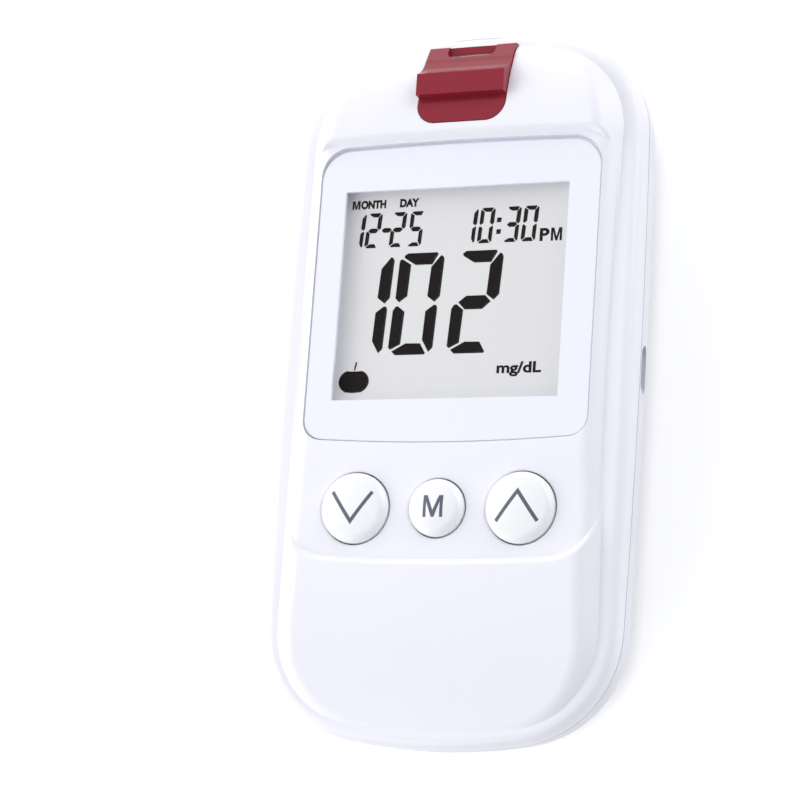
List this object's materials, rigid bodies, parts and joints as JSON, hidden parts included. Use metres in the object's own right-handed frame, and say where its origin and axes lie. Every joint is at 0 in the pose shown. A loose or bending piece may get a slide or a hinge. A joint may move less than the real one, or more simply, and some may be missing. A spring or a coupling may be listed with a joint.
{
  "type": "blood glucose meter",
  "caption": "Hand-held blood glucose meter with a flush display window, a row of round keys, a thumb ejector over the strip port and a battery door in the back.",
  "frame": {"origin": "centre of the box that the meter fills, on the flat back that it lies on", "axes": "+Z out of the face with the display, +Y towards the end with the strip port and the red ejector, +X to the right"},
  "size_m": [0.0526, 0.1012, 0.021],
  "materials": {
    "casing_white": "semi-gloss white moulded plastic",
    "back_white": "semi-gloss white moulded plastic, faintly cooler",
    "key_white": "smooth white moulded plastic",
    "window": "clear window with a white printed border",
    "tape": "thin black tape",
    "display_glass": "pale grey reflective display",
    "frame_plastic": "plain moulded plastic",
    "elastomer": "dark layered elastomer",
    "board_green": "solder-masked laminate",
    "black_plastic": "black moulded plastic",
    "spring_steel": "plain spring steel",
    "plated_steel": "nickel-plated steel",
    "contact_gold": "gold-plated contacts",
    "ejector_red": "glossy dark red moulded plastic",
    "pusher_grey": "plain moulded plastic",
    "cell_jacket": "plain dark printed jacket over a steel can",
    "socket_metal": "dull stamped steel"
  },
  "bodies": {
    "casing": {"front_shell": "casing_white", "rear_shell": "back_white", "display_lens": "window", "lens_adhesive": "tape", "lcd_panel": "display_glass", "lcd_holder": "frame_plastic", "zebra_upper": "elastomer", "zebra_lower": "elastomer", "main_pcb": "board_green", "microcontroller": "black_plastic", "buzzer": "black_plastic", "dome_down": "spring_steel", "dome_memory": "spring_steel", "dome_up": "spring_steel", "strip_connector": "black_plastic", "strip_contacts": "contact_gold", "ejector_spring": "spring_steel", "battery_left": "cell_jacket", "battery_right": "cell_jacket", "positive_contact": "plated_steel", "negative_contact": "plated_steel", "bridge_contact": "plated_steel", "case_screws": "plated_steel", "data_socket": "socket_metal"},
    "down_button": {"down_key": "key_white"},
    "memory_button": {"memory_key": "key_white"},
    "up_button": {"up_key": "key_white"},
    "ejector": {"strip_ejector": "ejector_red", "ejector_pusher": "pusher_grey"},
    "door": {"battery_door": "back_white"}
  },
  "joints": [
    {"name": "down_press", "type": "slide", "parent": "casing", "child": "down_button", "axis": [0, 0, -1], "range_m": [0, 0.00035], "stiffness_N_per_m": 2500, "springref_m": -0.0001, "deforming": ["dome_down"]},
    {"name": "memory_press", "type": "slide", "parent": "casing", "child": "memory_button", "axis": [0, 0, -1], "range_m": [0, 0.00035], "stiffness_N_per_m": 2500, "springref_m": -0.0001, "deforming": ["dome_memory"]},
    {"name": "up_press", "type": "slide", "parent": "casing", "child": "up_button", "axis": [0, 0, -1], "range_m": [0, 0.00035], "stiffness_N_per_m": 2500, "springref_m": -0.0001, "deforming": ["dome_up"]},
    {"name": "ejector_slide", "type": "slide", "parent": "casing", "child": "ejector", "axis": [0, 1, 0], "range_m": [0, 0.004], "stiffness_N_per_m": 300, "springref_m": -0.001, "deforming": ["ejector_spring"]},
    {"name": "door_hinge", "type": "hinge", "parent": "casing", "child": "door", "pos_m": [0, 0.009, 0], "axis": [1, 0, 0], "range_deg": [0, 75]}
  ]
}
